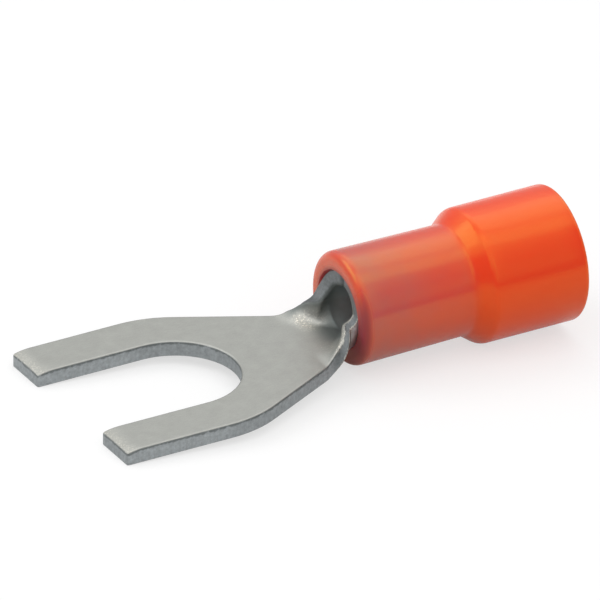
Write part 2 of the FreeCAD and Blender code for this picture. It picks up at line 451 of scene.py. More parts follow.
@dataclass(frozen=True)
class PaintedLightAndShade:
    """Where the folded sheet has painted highlights, on the bend, the near lip and the tips, and painted
    shade, in the neck's hollow and at the mouth.

    Places along X are counted from where the walls stand upright, but the lip's end from the barrel and the
    tip from the prongs' ends. The lip and the tip's edge are distances from the free edge, the hollow's bend
    is the way round the bend, and the middle's ramps are distances across, positive on the far side.
    """

    # Painted highlight along the near lip of the mouth; it lessens the cut mark and the painted shade there.
    lip: Ramp = Ramp(0.42, 0.14)
    lip_start: Ramp = Ramp(-1.6, -0.9)
    lip_end: Ramp = Ramp(0.1, -0.2)
    lip_highlight_weight: float = 1.6
    lip_cut_loss: float = 0.8
    lip_hollow_loss: float = 0.9
    # Painted highlight on the bend, along X, and at the tips' ends.
    bend: Ramp = Ramp(-0.3, -0.9, 0.6, 2.0)
    tip: Ramp = Ramp(0.9, 0.0, 0.0, 0.8)
    tip_edge: Ramp = Ramp(1.0, 0.2)
    # Painted shade in the neck's hollow and at the mouth.
    hollow_start: Ramp = Ramp(-1.5, -0.8)
    hollow_end: Ramp = Ramp(1.2, 0.4)
    hollow_bend: Ramp = Ramp(0.95, 1.45)
    hollow_depth: Ramp = Ramp(-0.45, 0.75)
    middle_lead: float = 0.7
    middle_to_far: Ramp = Ramp(1.5, 0.2)
    middle_to_near: Ramp = Ramp(-0.4, -1.2, 1.0, 0.4)


@dataclass
class SheetGrid:
    """A grid of points on the sheet: the heights of both its faces, and how far off the free edge is.

    A point is placed by its x, its way along the sheet and a height over the sheet's underside.
    """

    x: np.ndarray
    way: np.ndarray
    across: np.ndarray
    upper: np.ndarray
    under: np.ndarray
    edge: np.ndarray
    place: Callable[[np.ndarray, np.ndarray, np.ndarray], np.ndarray]

    def points(self, part: Any, height: np.ndarray) -> np.ndarray:
        """Points of a part of the grid, at heights over the sheet's underside."""
        return self.place(self.x[part], self.way[part], height)

    def add_wall(self, surface: SurfaceMesh, part: Any, lines: int) -> None:
        """Adds the cut wall along a row or column, from the under face up to the upper one.

        Args:
            surface: The mesh that gathers the grids.
            part: The row or column.
            lines: Lines along the wall.
        """
        upper, under = self.upper[part], self.under[part]
        columns = [under + (upper - under) * s for s in np.linspace(0.0, 1.0, lines)]
        wall = np.stack([self.points(part, height) for height in columns], axis=1)
        depth = np.stack([upper - height for height in columns], axis=1)
        none = np.zeros_like(depth)
        marks = {Mark.CUT: none + 1.0, Mark.DEPTH: depth, Mark.STRAIN_AND_HIGHLIGHT: none, Mark.PAINTED_SHADE: none}
        surface.add_grid(wall, marks)


@dataclass
class TerminalHalf:
    """One half of the stamped and rolled metal piece: tongue, neck and wire barrel, all one folded sheet.

    A spacing of lines is a pair, the finer one first, and steps are distances from an edge.
    """

    blank: FlatBlank
    fold: FoldLaw
    barrel_length: float = 5.9
    wing_front_lean: float = 0.16
    seam_gap: float = 0.02
    seam_corner: float = 0.3
    seam_rounding: float = 0.15
    entry_chamfer: float = 0.2
    edge_roll: float = 0.1
    burr_radius: float = 0.04
    tip_droop: float = 0.09
    tip_droop_length: float = 0.95
    corner_droop: float = 0.045
    mouth_roll: Ramp = Ramp(-1.2, -0.3)
    light_and_shade: PaintedLightAndShade = PaintedLightAndShade()
    fan_turn: float = 35.0
    slot_setback: float = 0.8
    flat_setback: float = 0.4
    fine_wing_length: float = 1.2
    prong_spacing: tuple[float, float] = (0.08, 0.2)
    centre_spacing: tuple[float, float] = (0.06, 0.16)
    neck_spacing: tuple[float, float] = (0.06, 0.035)
    wing_spacing: tuple[float, float] = (0.04, 0.06)
    barrel_spacing: tuple[float, float] = (0.08, 0.3)
    edge_steps: tuple[float, ...] = (0.0, 0.003, 0.012, 0.025, 0.045, 0.075, 0.11, 0.15, 0.22)
    back_steps: tuple[float, ...] = (0.12, 0.045, 0.012, 0.003, 0.0)
    tip_lines: int = 8
    fan_lines: int = 49
    fillet_lines: int = 14
    front_lines: int = 22
    corner_lines: int = 12
    middle_lines: int = 22
    wall_lines: int = 6

    @property
    def barrel_back(self) -> float:
        """Rear end of the barrel."""
        return self.blank.barrel_front + self.barrel_length

    @property
    def seam_length(self) -> float:
        """Length of sheet in a wing, from the height of the axis up to the seam."""
        return self.fold.middle_radius * RIGHT_ANGLE - self.seam_gap / 2

    @property
    def slot_lines_end(self) -> float:
        """Outer end, along X, of the last line that starts at the slot's wall."""
        return self.fold.start - self.slot_setback

    @property
    def straight_lines_start(self) -> float:
        """Where the lines from the centre line begin to run straight across."""
        return self.fold.start - self.flat_setback

    def slot_lines(self) -> tuple[np.ndarray, np.ndarray]:
        """Lines from the slot's wall: straight across on a prong, then fanned out round the slot's end.

        Down to the fan's turn they run out from the end's centre. From there their outer ends go on evenly
        along X, up to the line that starts on the centre line.

        Returns:
            Inner ends, and the x of each outer end.
        """
        blank = self.blank
        turn = np.linspace(0.0, RIGHT_ANGLE, self.tip_lines)
        tip = -blank.tip_reach + blank.tip_corner * (1.0 - np.cos(turn))
        prong = np.concatenate([tip, graded(tip[-1], 0.0, *self.prong_spacing)[1:]])
        prong_inner = np.stack([prong, np.full_like(prong, blank.slot_radius)], axis=-1)
        angles = np.linspace(RIGHT_ANGLE, 0.0, self.fan_lines)[1:]
        round_inner = blank.slot_radius * np.stack([np.cos(angles), np.sin(angles)], axis=-1)
        fan = math.radians(self.fan_turn)
        tangent = RIGHT_ANGLE - blank.taper
        reach = blank.half_width / np.cos(np.clip(tangent - np.maximum(angles, fan), 0.0, None))
        fan_end = blank.half_width / math.cos(tangent - fan) * math.cos(fan)
        leaning = fan_end + (self.slot_lines_end - fan_end) * (fan - angles) / fan
        round_outer = np.where(angles >= fan, reach * np.cos(angles), leaning)
        return np.concatenate([prong_inner, round_inner]), np.concatenate([prong, round_outer])

    def centre_lines(self) -> tuple[np.ndarray, np.ndarray]:
        """Lines from the centre line between the slot and the straight ones: they lean less and less.

        The x of the outer end goes evenly with that of the inner end.

        Returns:
            The x of each inner end, and that of each outer end.
        """
        start, outer_start, end = self.blank.slot_radius, self.slot_lines_end, self.straight_lines_start
        x = start + np.array(self.edge_steps)[1:]
        x = np.concatenate([x, graded(x[-1], end, *self.centre_spacing)[1:]])
        return x, outer_start + (end - outer_start) * (x - start) / (end - start)

    def straight_lines(self) -> tuple[np.ndarray, int]:
        """Lines straight across the neck and the barrel, fine where the wing starts and at the rear end.

        Returns:
            The x of each line, and how many of them lead up to where the wing starts.
        """
        neck = graded(self.straight_lines_start, self.fold.upright, *self.neck_spacing)[1:]
        wing = self.fold.upright + np.array(self.edge_steps)[1:]
        fine_end = self.fold.upright + self.fine_wing_length
        wing = np.concatenate([wing, graded(wing[-1], fine_end, *self.wing_spacing)[1:]])
        back = self.barrel_back - np.array([self.entry_chamfer, *self.back_steps])
        barrel = np.concatenate([graded(wing[-1], back[0], *self.barrel_spacing)[1:], back[1:]])
        return np.concatenate([neck, wing, barrel]), len(neck)

    def stations(self) -> tuple[np.ndarray, np.ndarray, int, int]:
        """Ends of the lines across the half: from the slot's wall or the centre line to the free edge.

        Returns:
            Inner ends, outer x of each line, the last line that meets the slot, and the first at the wings.
        """
        slot_inner, slot_outer = self.slot_lines()
        centre, centre_outer = self.centre_lines()
        straight, neck_count = self.straight_lines()
        middle = np.concatenate([centre, straight])
        inner = np.concatenate([slot_inner, np.stack([middle, np.zeros_like(middle)], axis=-1)])
        slot_last = len(slot_inner) - 1
        wing_first = slot_last + len(centre) + neck_count
        return inner, np.concatenate([slot_outer, centre_outer, straight]), slot_last, wing_first

    def across_lines(self, length: np.ndarray) -> np.ndarray:
        """Distances along lines of the given lengths, fine near both ends and even between.

        Args:
            length: Length of each line.

        Returns:
            Distances from the inner end, as lines and points.
        """
        edge = np.array(self.edge_steps)
        middle = np.linspace(0.0, 1.0, self.middle_lines)[1:-1]
        span = length[:, None]
        low = np.broadcast_to(edge, (len(length), len(edge)))
        body = edge[-1] + (span - 2 * edge[-1]) * middle
        return np.concatenate([low, body, span - edge[::-1]], axis=1)

    def fillet(self) -> tuple[float, float, float]:
        """The arc from the neck's free edge to the wing's front line, which it touches.

        With a start slope s, a lean l and a level reach c from the start to the line, its radius is
        c cos l / (1 - sin(s + l)).

        Returns:
            Its radius, and its centre's place along X and height over the barrel's axis.
        """
        lean = math.atan(self.wing_front_lean / self.fold.outer_radius)
        slope = self.fold.edge_slope
        reach = self.blank.barrel_front - self.wing_front_lean - self.fold.upright
        radius = reach * math.cos(lean) / (1.0 - math.sin(slope + lean))
        return radius, self.fold.upright - radius * math.sin(slope), radius * math.cos(slope)

    def wing_distance(self, x: np.ndarray, rise: np.ndarray) -> np.ndarray:
        """Distance from the wing's fillet: that from the fillet's centre, less its radius."""
        radius, centre_x, centre_rise = self.fillet()
        return np.hypot(x - centre_x, centre_rise - rise) - radius

    def heights(self, edge: np.ndarray, x: np.ndarray) -> tuple[np.ndarray, np.ndarray]:
        """Heights of both faces near the free edges: the upper one rolls off, the under one keeps a burr.

        Args:
            edge: Distances from the free edge.
            x: Places along X.

        Returns:
            Heights of the upper and the under face over the sheet's underside.
        """
        entry = np.maximum(self.entry_chamfer - (self.barrel_back - x), 0.0)
        roll = self.edge_roll + self.fold.half.mouth_roll * self.mouth_roll.at(x - self.fold.upright)
        upper = self.blank.sheet - np.maximum(rounded_drop(edge, roll), entry)
        rear = rounded_drop(self.barrel_back - x, self.burr_radius)
        under = np.maximum(rounded_drop(edge, self.burr_radius), rear)
        return upper, under

    def floor_grid(self) -> tuple[SheetGrid, int, int]:
        """The half from the centre line up to the free edge or, behind the mouth, up to the barrel's axis.

        Its points lie on the lines across. Their heights follow the distance from the nearest free edge, and
        the tip droops with the square of the closeness to its end.

        Returns:
            The grid, the last line that meets the slot and the first at the wings.
        """
        blank = self.blank
        inner, outer_x, slot_last, wing_first = self.stations()
        inset = rounded_drop(inner[:, 0] + blank.tip_reach, blank.tip_corner)
        inner = inner + np.stack([np.zeros_like(inset), inset], axis=-1)
        edge = self.fold.free_edge(outer_x) - inset
        outer = np.stack([outer_x, edge], axis=-1)
        length = np.hypot(*(outer - inner).T)
        share = (self.across_lines(length) / length[:, None])[..., None]
        flat = inner[:, None] * (1.0 - share) + outer[:, None] * share
        x, across = flat[..., 0], flat[..., 1]
        from_tip = x + blank.tip_reach
        ahead, behind = (self.fold.free_edge(x + step) for step in (SLOPE_STEP, -SLOPE_STEP))
        gap = self.fold.free_edge(x) - across
        free = gap / np.hypot(1.0, (ahead - behind) / (2 * SLOPE_STEP))
        wing = self.wing_distance(x, -np.maximum(gap, 0.0))
        outside = np.where(x < self.fold.upright, free, wing)
        outside = np.maximum(outside, 0.0)
        slot = np.maximum(blank.slot_distance(x, across), 0.0)
        nearest = np.minimum(
            corner_distance(from_tip, outside, blank.tip_corner),
            corner_distance(from_tip, slot, blank.tip_corner),
        )
        upper, under = self.heights(nearest, x)
        end = np.clip(1.0 - from_tip / self.tip_droop_length, 0.0, 1.0) ** 2
        beside = np.clip(1.0 - np.minimum(outside, slot) / self.tip_droop_length, 0.0, 1.0) ** 2
        upper = upper - end * (self.tip_droop + self.corner_droop * beside)
        grid = SheetGrid(x, across, across, upper, under, nearest, self.fold.place)
        return grid, slot_last, wing_first

    def wing_grid(self, columns: np.ndarray) -> SheetGrid:
        """The wing above the barrel's axis, from its front edge to the rear end.

        The front edge starts along the neck's edge, turns up in a fillet, leans along a line, and turns back
        in a rounded corner at the seam.

        Args:
            columns: Places along X where the lines of the half below arrive, the first at the fillet's start.

        Returns:
            The grid, whose way along the sheet is counted from the axis up.
        """
        outer = self.fold.outer_radius
        lean = self.wing_front_lean / outer
        radius, centre_x, centre_rise = self.fillet()
        turn = np.linspace(self.fold.edge_slope, RIGHT_ANGLE - math.atan(lean), self.fillet_lines)
        fillet_rise = centre_rise - radius * np.cos(turn)
        fillet_front = centre_x + radius * np.sin(turn)
        fillet_up = self.fold.middle_radius * np.arcsin(fillet_rise / outer)
        straight_up = np.linspace(fillet_up[-1], self.seam_length - self.seam_corner, self.front_lines)[1:]
        bend = np.linspace(0.0, RIGHT_ANGLE, self.corner_lines)[1:]
        corner_up = self.seam_length - self.seam_corner * (1.0 - np.sin(bend))
        up = np.concatenate([fillet_up, straight_up, corner_up])
        rise = outer * np.sin(up / self.fold.middle_radius)
        line = self.blank.barrel_front - (outer - rise) * lean
        front = line.copy()
        front[:len(turn)] = fillet_front
        front[-len(bend):] += self.seam_corner * (1.0 - np.cos(bend))
        share = (columns - columns[0]) / (columns[-1] - columns[0])
        x = front[:, None] + (self.barrel_back - front[:, None]) * share
        from_fillet = self.wing_distance(x, rise[:, None])
        from_line = (x - line[:, None]) / math.hypot(1.0, lean)
        in_fillet = (np.arange(len(rise)) < len(turn) - 1)[:, None]
        from_front = np.maximum(np.where(in_fillet, from_fillet, from_line), 0.0)
        from_seam = np.broadcast_to(self.seam_length - up[:, None], x.shape)
        nearest = np.maximum(corner_distance(from_front, from_seam, self.seam_corner), 0.0)
        nearest[0] = np.maximum(from_fillet[0], 0.0)
        upper, under = self.heights(nearest, x)
        under = np.maximum(under, rounded_drop(from_seam, self.seam_rounding))
        way = np.broadcast_to(up[:, None], x.shape)
        across = self.fold.middle_radius + from_seam
        return SheetGrid(x, way, across, upper, under, nearest, self.on_wing)

    def on_wing(self, x: np.ndarray, up: np.ndarray, height: np.ndarray) -> np.ndarray:
        """Points of the wing: a circle round the barrel's axis, whose radius falls as the height grows.

        Args:
            x: Places along X.
            up: Lengths above the axis, along the sheet's middle.
            height: Heights over the sheet's underside, which is the barrel's outside.

        Returns:
            The points.
        """
        outer = self.fold.outer_radius
        turn = up / self.fold.middle_radius
        radius = outer - height
        across = self.fold.side.value * radius * np.cos(turn)
        return np.stack([x, across, outer + radius * np.sin(turn)], axis=-1)

    def face_marks(
        self, grid: SheetGrid, face: Face, strain: np.ndarray, turned: np.ndarray,
    ) -> dict[Mark, np.ndarray]:
        """What the finish reads over one face of a grid.

        At a distance e from the free edge, the cut mark is (1 - e / w)^2 within the rolled width w. The depth
        is the sheet's thickness, on the under face alone. The strain is the fold's or the near lip's painted
        highlight, whichever is more. The hollow is painted shade on the upper face in the neck and at the
        mouth.
        On the lip's painted highlight the cut mark and the hollow are less.

        Args:
            grid: The grid.
            face: Its upper or under face.
            strain: How much the fold works each point, as the weight of its painted highlight, with that of
                the tips.
            turned: How far each point is round the bend.

        Returns:
            The attributes of its points.
        """
        light_and_shade = self.light_and_shade
        past = grid.x - self.fold.upright
        # Painted highlight along the near lip of the mouth.
        painted_lip_highlight = light_and_shade.lip.at(grid.edge) * light_and_shade.lip_start.at(past)
        painted_lip_highlight = painted_lip_highlight * light_and_shade.lip_end.at(grid.x - self.blank.barrel_front) * self.fold.half.lip_highlight
        width = self.edge_roll if face is Face.UPPER else self.burr_radius
        off_centre = self.fold.side.value * grid.across
        # Painted shade in the neck's hollow and at the mouth.
        middle = light_and_shade.middle_to_far.at(off_centre) * light_and_shade.middle_to_near.at(off_centre)
        deep = np.maximum(light_and_shade.hollow_bend.at(turned), light_and_shade.hollow_depth.at(past + light_and_shade.middle_lead * middle))
        deep = deep * light_and_shade.hollow_start.at(past) * light_and_shade.hollow_end.at(past)
        return {
            Mark.CUT: np.clip(1.0 - grid.edge / width, 0.0, 1.0) ** 2 * (1.0 - light_and_shade.lip_cut_loss * painted_lip_highlight),
            Mark.DEPTH: (grid.upper - grid.under) * (1 - face.value),
            Mark.STRAIN_AND_HIGHLIGHT: np.maximum(strain, light_and_shade.lip_highlight_weight * painted_lip_highlight),
            Mark.PAINTED_SHADE: deep * (1.0 - light_and_shade.lip_hollow_loss * painted_lip_highlight) * face.value,
        }

    def add_to(self, surface: SurfaceMesh) -> None:
        """Adds the half: both faces of its two grids, and the cut walls between them along the free edges.

        Args:
            surface: The mesh that gathers the grids.
        """
        low, slot_last, wing_first = self.floor_grid()
        high = self.wing_grid(low.x[wing_first:, -1])
        bent, round_bend = self.fold.strain(low.x, low.across)
        # The bend's strain and the tips' ends give the weight of the painted highlight.
        bent = bent * self.light_and_shade.bend.at(low.x - self.fold.upright) * self.fold.half.shine
        tip = self.light_and_shade.tip.at(low.x + self.blank.tip_reach) * self.light_and_shade.tip_edge.at(low.edge)
        plain = np.zeros_like(high.x)
        grids = ((low, np.maximum(bent, tip), round_bend), (high, plain, plain + self.fold.last_turn))
        for face in Face:
            for grid, strain, turned in grids:
                points = grid.points(np.s_[:, :], grid.upper if face is Face.UPPER else grid.under)
                surface.add_grid(points, self.face_marks(grid, face, strain, turned))
        for part in (np.s_[:slot_last + 1, 0], np.s_[:wing_first + 1, -1], np.s_[0, :], np.s_[-1, :]):
            low.add_wall(surface, part, self.wall_lines)
        for part in (np.s_[:, 0], np.s_[-1, :], np.s_[:, -1]):
            high.add_wall(surface, part, self.wall_lines)


@dataclass
class TerminalBody:
    """The stamped and rolled metal piece: two halves of one folded sheet."""

    blank: FlatBlank

    def build(self) -> bpy.types.Object:
        """Makes the piece from its two halves.

        Returns:
            The object.
        """
        surface = SurfaceMesh("rolled_fork_terminal")
        for side in Side:
            TerminalHalf(self.blank, FoldLaw(self.blank, side)).add_to(surface)
        return surface.build()


@dataclass
class InsulationSleeve:
    """The moulded sleeve: a profile turned round the barrel's axis, with every corner rounded."""

    axis_height: float = 1.95
    barrel_front: float = 9.3007
    barrel_back: float = 15.2007
    lead: float = 0.2
    lead_rise: float = 0.08
    front_wall: float = 0.955
    foot_wall: float = 0.86
    shoulder_setback: float = 0.15
    shoulder_length: float = 0.85
    flare_length: float = 5.1
    flare_bore_radius: float = 2.635
    flare_wall: float = 0.8
    funnel_length: float = 1.0
    grip_front_radius: float = 0.05
    lead_radius: float = 0.04
    front_radius: float = 0.45
    foot_radius: float = 0.35
    top_radius: float = 0.6
    rim_radius: float = 0.18
    inner_rim_radius: float = 0.12
    funnel_radius: float = 0.3
    grip_back_radius: float = 0.1
    turns: int = 192
    arc_points: int = 9
    side_points: int = 8

    @property
    def front(self) -> float:
        """Front end of the sleeve."""
        return self.barrel_front - self.lead

    @property
    def top(self) -> float:
        """Where the shoulder reaches the wide end."""
        return self.barrel_back + self.shoulder_setback + self.shoulder_length

    @property
    def back(self) -> float:
        """Rear end of the sleeve."""
        return self.top + self.flare_length

    def profile(self) -> list[tuple[float, float, float]]:
        """The wall's section, once round.

        Returns:
            Its corners, each as place along X, radius and rounding.
        """
        grip = self.axis_height
        outside = self.flare_bore_radius + self.flare_wall
        return [
            (self.barrel_front, grip, self.grip_front_radius),
            (self.front, grip + self.lead_rise, self.lead_radius),
            (self.front, grip + self.front_wall, self.front_radius),
            (self.barrel_back + self.shoulder_setback, grip + self.foot_wall, self.foot_radius),
            (self.top, outside, self.top_radius),
            (self.back, outside, self.rim_radius),
            (self.back, self.flare_bore_radius, self.inner_rim_radius),
            (self.barrel_back + self.funnel_length, self.flare_bore_radius, self.funnel_radius),
            (self.barrel_back, grip, self.grip_back_radius),
        ]

    def rounded_profile(self) -> np.ndarray:
        """The profile with its corners rounded: each is an arc of its own radius that touches both sides.

        Returns:
            Points of the closed line, with extra ones along its long sides.
        """
        corners = np.array(self.profile())
        points, radii = corners[:, :2], corners[:, 2:]
        back = np.roll(points, 1, axis=0) - points
        ahead = np.roll(points, -1, axis=0) - points
        back /= np.linalg.norm(back, axis=1, keepdims=True)
        ahead /= np.linalg.norm(ahead, axis=1, keepdims=True)
        half = np.arccos(np.clip((back * ahead).sum(axis=1, keepdims=True), -1.0, 1.0)) / 2
        middle = back + ahead
        middle /= np.linalg.norm(middle, axis=1, keepdims=True)
        centre = points + middle * radii / np.sin(half)
        sweep = RIGHT_ANGLE - half
        turn = np.linspace(-1.0, 1.0, self.arc_points)[None, :, None] * sweep[:, None, :]
        sideways = np.cross(np.c_[middle, np.zeros(len(middle))], [0.0, 0.0, 1.0])[:, :2]
        sense = np.sign((sideways * back).sum(axis=1, keepdims=True))
        start = -middle[:, None] * np.cos(turn) + (sideways * -sense)[:, None] * np.sin(turn)
        arcs = centre[:, None] + radii[:, None] * start
        ends, starts = arcs[:, -1:], np.roll(arcs[:, :1], -1, axis=0)
        share = np.linspace(0.0, 1.0, self.side_points)[None, 1:-1, None]
        sides = ends + (starts - ends) * share
        return np.concatenate([arcs, sides], axis=1).reshape(-1, 2)

    def build(self) -> bpy.types.Object:
        """Turns the profile round the axis: y = r sin a, z = axis + r cos a.

        Returns:
            The object.
        """
        line = self.rounded_profile()
        line = np.concatenate([line, line[:1]])
        angle = np.linspace(0.0, 2 * math.pi, self.turns, endpoint=False)
        x = np.broadcast_to(line[:, :1], (len(line), self.turns))
        y = line[:, 1:] * np.sin(angle)
        z = self.axis_height + line[:, 1:] * np.cos(angle)
        surface = SurfaceMesh("moulded_sleeve")
        surface.add_grid(np.stack([x, y, z], axis=-1), {}, wrapped=True)
        return surface.build()


class Wire:
    """A number that flows through a shader, with Python's operators for the nodes that do the sums."""

    def __init__(self, board: "NodeBoard", socket: bpy.types.NodeSocket) -> None:
        """Keeps the socket that the number comes from."""
        self.board = board
        self.socket = socket

    def __add__(self, other: Any) -> "Wire":
        """This plus the other."""
        return self.board.sum("ADD", self, other)

    def __sub__(self, other: Any) -> "Wire":
        """This less the other."""
        return self.board.sum("SUBTRACT", self, other)

    def __rsub__(self, other: Any) -> "Wire":
        """The other less this."""
        return self.board.sum("SUBTRACT", other, self)

    def __mul__(self, other: Any) -> "Wire":
        """This times the other."""
        return self.board.sum("MULTIPLY", self, other)

    __radd__ = __add__
    __rmul__ = __mul__


class NodeBoard:
    """The nodes of one material or of the world."""

    def __init__(self, tree: bpy.types.NodeTree) -> None:
        """Clears the node tree."""
        self.tree = tree
        tree.nodes.clear()

    def node(self, kind: str, settings: dict[str, Any], inputs: dict[Any, Any]) -> bpy.types.Node:
        """Adds a node.

        Args:
            kind: The node's type, without the words that all of them start with.
            settings: Its own settings, set before its sockets.
            inputs: Values or links of its sockets, by name or number.

        Returns:
            The node.
        """
        made = self.tree.nodes.new("ShaderNode" + kind)
        for name, value in settings.items():
            setattr(made, name, value)
        for key, value in inputs.items():
            source = value.socket if isinstance(value, Wire) else value
            if isinstance(source, bpy.types.NodeSocket):
                self.tree.links.new(source, made.inputs[key])
            else:
                made.inputs[key].default_value = source
        return made

    def sum(self, operation: str, *values: Any) -> Wire:
        """A Math node on numbers or wires."""
        inputs = dict(enumerate(values))
        return Wire(self, self.node("Math", {"operation": operation}, inputs).outputs[0])

    def step(self, value: Any, ramp: Ramp, origin: float = 0.0) -> Wire:
        """Follows a ramp.

        Args:
            value: The value that goes along it.
            ramp: The ramp.
            origin: Where the ramp's own places are counted from.

        Returns:
            The result.
        """
        settings = {"interpolation_type": "SMOOTHSTEP"}
        inputs = {0: value, 1: origin + ramp.low, 2: origin + ramp.high, 3: ramp.start, 4: ramp.end}
        return Wire(self, self.node("MapRange", settings, inputs).outputs[0])

    def mark(self, mark: Mark) -> Wire:
        """A mesh attribute by its name."""
        settings = {"attribute_name": mark.value}
        return Wire(self, self.node("Attribute", settings, {}).outputs["Fac"])

    def noise(self, place: Any, cloud: Cloud) -> Wire:
        """Cloudy noise from 0 to 1, read at a place."""
        inputs = {"Vector": place, "Scale": cloud.scale, "Detail": cloud.layers, "Roughness": cloud.strength}
        return Wire(self, self.node("TexNoise", {}, inputs).outputs[0])

    def blend(self, share: Any, one: Any, other: Any) -> bpy.types.NodeSocket:
        """Mixes two colours, by the share of the second."""
        node = self.node("Mix", {"data_type": "RGBA"}, {0: share, 6: one, 7: other})
        return node.outputs[2]

    def shade(self, amount: Any, colour: Tone) -> bpy.types.NodeSocket:
        """Multiplies a plain colour by a number."""
        node = self.node("VectorMath", {"operation": "SCALE"}, {0: colour[:3], "Scale": amount})
        return node.outputs[0]

    def millimetres(self, scale: Triple = (1.0, 1.0, 1.0)) -> bpy.types.NodeSocket:
        """The point's own coordinates in millimetres.

        Args:
            scale: Factor along each axis.

        Returns:
            The coordinates.
        """
        point = self.node("TexCoord", {}, {}).outputs["Object"]
        factors = tuple(s / MILLIMETRE for s in scale)
        return self.node("Mapping", {}, {"Vector": point, "Scale": factors}).outputs[0]

    def coordinates(self) -> tuple[Wire, Wire, Wire]:
        """The point's own X, Y and Z, in millimetres."""
        point = self.node("SeparateXYZ", {}, {0: self.millimetres()})
        return Wire(self, point.outputs[0]), Wire(self, point.outputs[1]), Wire(self, point.outputs[2])

    def bump(self, height: Wire, depth: float) -> bpy.types.NodeSocket:
        """A surface normal for a height from 0 to 1, where 1 stands for the depth in millimetres."""
        inputs = {"Strength": 1.0, "Distance": depth * MILLIMETRE, "Height": height}
        return self.node("Bump", {}, inputs).outputs[0]


def new_material(name: str) -> tuple[bpy.types.Material, NodeBoard]:
    """A material with an empty board of nodes.

    Args:
        name: The material's name.

    Returns:
        The material and its board.
    """
    material = bpy.data.materials.new(name)
    material.use_nodes = True
    return material, NodeBoard(material.node_tree)


